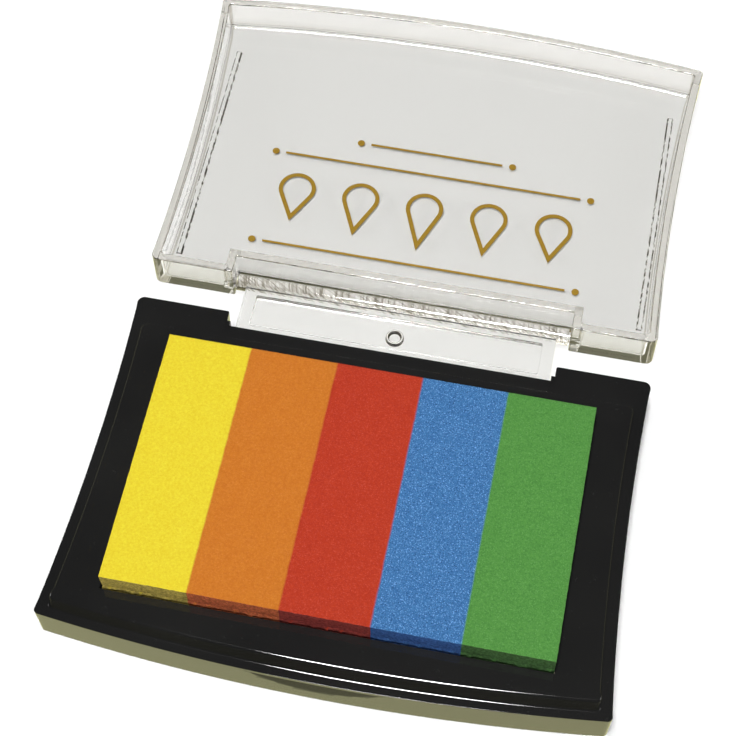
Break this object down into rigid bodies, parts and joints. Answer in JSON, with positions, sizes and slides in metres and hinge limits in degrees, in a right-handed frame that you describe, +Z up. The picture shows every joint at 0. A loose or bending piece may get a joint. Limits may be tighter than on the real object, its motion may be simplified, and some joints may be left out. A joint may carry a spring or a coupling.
{
  "type": "multi-colour stamping ink pad",
  "caption": "Flat black case with a raised foam pad in coloured strips and a clear lid on a double hinge, lying fully open behind it.",
  "frame": {"origin": "on the underside of the base, below the middle of the foam; the base stands on z = 0", "axes": "+X to the user's right along the row of colours, +Y from the front edge towards the hinge, +Z up"},
  "size_m": [0.0968, 0.1408, 0.0141],
  "materials": {
    "case_black": "polished",
    "bottom_black": "fine_texture",
    "clear_plastic": "clear",
    "adhesive": "matte",
    "barrier_film": "matte",
    "foam_yellow": "inked_foam",
    "foam_orange": "inked_foam",
    "foam_red": "inked_foam",
    "foam_blue": "inked_foam",
    "foam_green": "inked_foam",
    "gold_foil": "foil"
  },
  "bodies": {
    "base": {"base_shell": "case_black", "base_bottom": "bottom_black", "pad_adhesive": "adhesive", "foam_yellow": "foam_yellow", "foam_orange": "foam_orange", "foam_red": "foam_red", "foam_blue": "foam_blue", "foam_green": "foam_green", "ink_barrier_1": "barrier_film", "ink_barrier_2": "barrier_film", "ink_barrier_3": "barrier_film", "ink_barrier_4": "barrier_film"},
    "link": {"hinge_link": "clear_plastic"},
    "lid": {"lid_shell": "clear_plastic", "lid_ornament": "gold_foil"}
  },
  "joints": [
    {"name": "link_hinge", "type": "hinge", "parent": "base", "child": "link", "pos_m": [0, 0.03225, 0.00235], "axis": [1, 0, 0], "range_deg": [0, 90]},
    {"name": "lid_hinge", "type": "hinge", "parent": "link", "child": "lid", "pos_m": [0, 0.04355, 0.00235], "axis": [1, 0, 0], "range_deg": [0, 90]}
  ]
}
